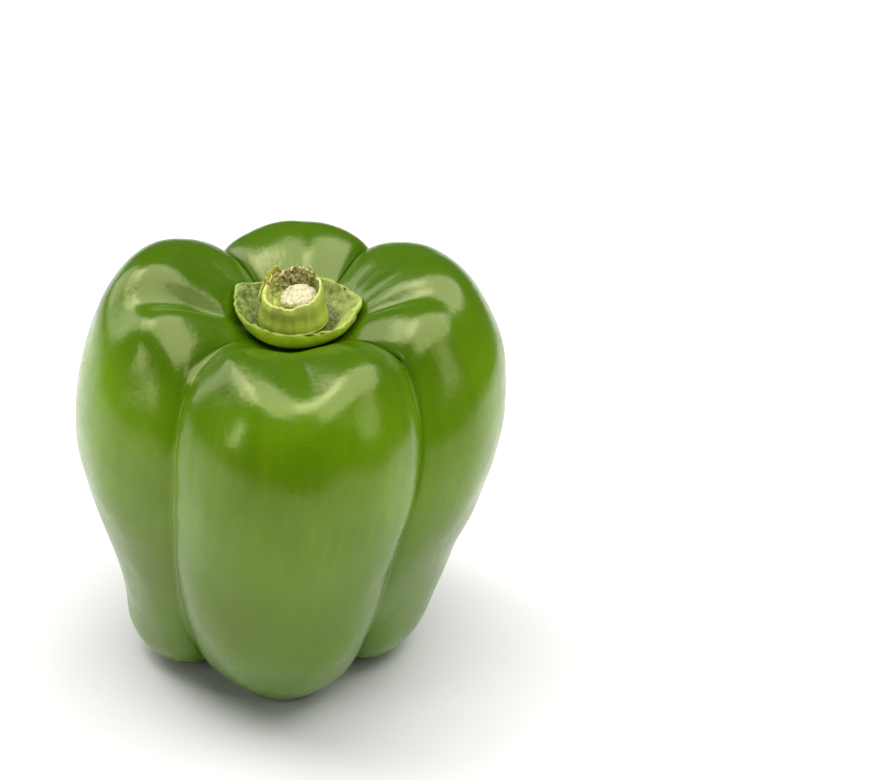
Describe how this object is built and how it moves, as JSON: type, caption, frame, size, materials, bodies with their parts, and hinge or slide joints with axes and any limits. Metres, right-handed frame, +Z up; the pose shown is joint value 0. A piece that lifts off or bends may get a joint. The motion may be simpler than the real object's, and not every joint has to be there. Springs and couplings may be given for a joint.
{
  "type": "bell pepper",
  "caption": "Whole green bell pepper with four uneven lobes, standing on its toes, with a shallow leafy calyx and a short broken-off stem stub sunk between the shoulders.",
  "frame": {"origin": "under the middle of the whole pepper's box, on the surface that its toes stand on", "axes": "+Z up through the stem; -Y towards the broad front lobe, +X towards the right lobe"},
  "size_m": [0.0858, 0.0828, 0.0877],
  "materials": {
    "skin": "waxy gloss",
    "calyx": "leafy satin",
    "stem": "fibrous satin"
  },
  "bodies": {
    "root": {"fruit": "skin", "calyx": "calyx", "stem": "stem"}
  },
  "joints": []
}
